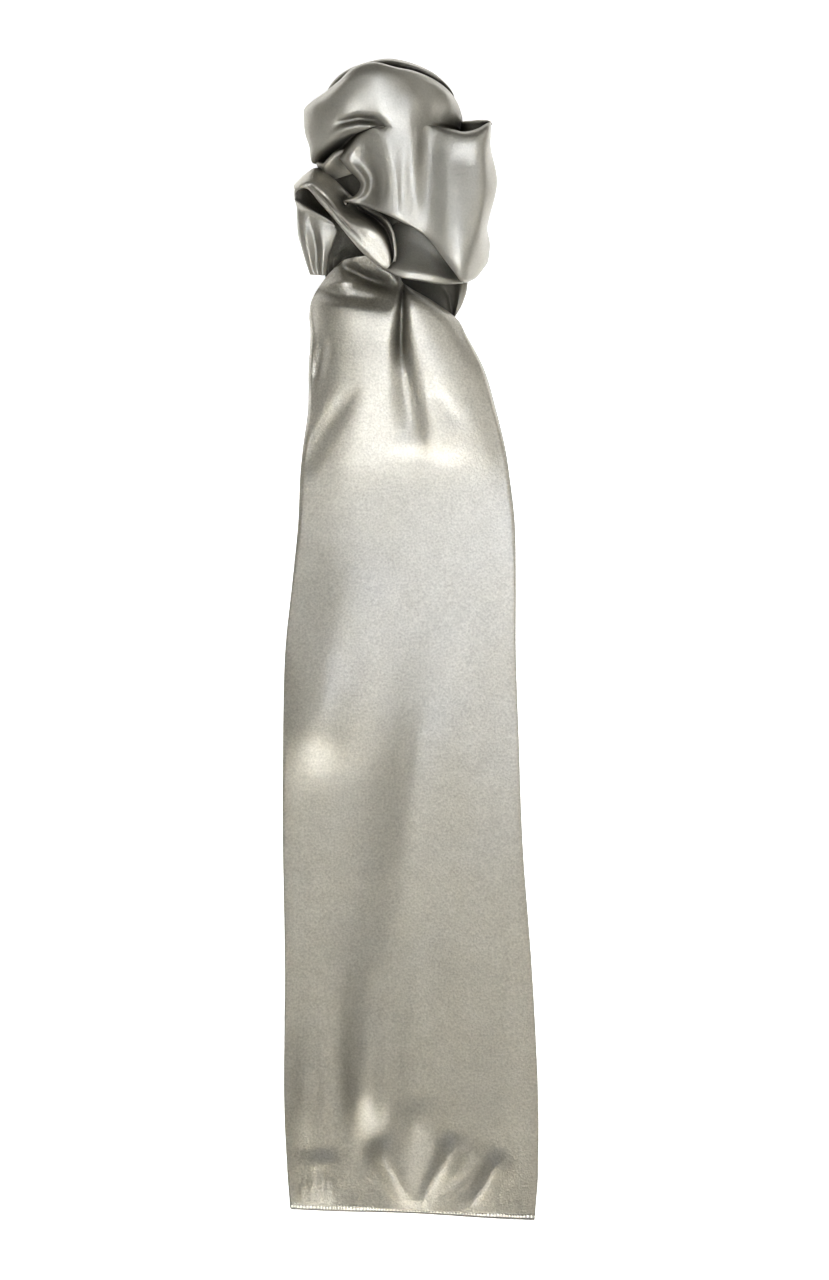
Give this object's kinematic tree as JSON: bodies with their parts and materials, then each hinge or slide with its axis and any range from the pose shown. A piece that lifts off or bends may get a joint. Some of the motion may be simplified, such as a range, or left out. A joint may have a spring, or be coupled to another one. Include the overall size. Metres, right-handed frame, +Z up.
{
  "type": "evening stole",
  "caption": "Long satin stole folded lengthwise, laid flat, with its upper half wound into a soft layered knot and a narrow rolled hem at its free end.",
  "frame": {"origin": "the surface that the stole lies on, under the middle of its box", "axes": "+Z up out of the surface, +Y along the stole from its hem towards the knot, +X to the right as seen from above"},
  "size_m": [0.2558, 1.1557, 0.0861],
  "materials": {
    "satin": "smooth silver-grey satin with a soft sheen",
    "satin_shade": "smooth silver-grey satin, the shaded under layers"
  },
  "bodies": {
    "root": {"tail_front": "satin", "tail_back": "satin_shade", "hem_front": "satin", "hem_back": "satin", "front_wrap": "satin", "lower_wrap": "satin_shade", "crown_roll": "satin", "crown_back": "satin_shade", "rolled_fold": "satin", "inner_lip": "satin", "left_ear": "satin", "neck_tab": "satin_shade", "knot_core": "satin_shade"}
  },
  "joints": []
}
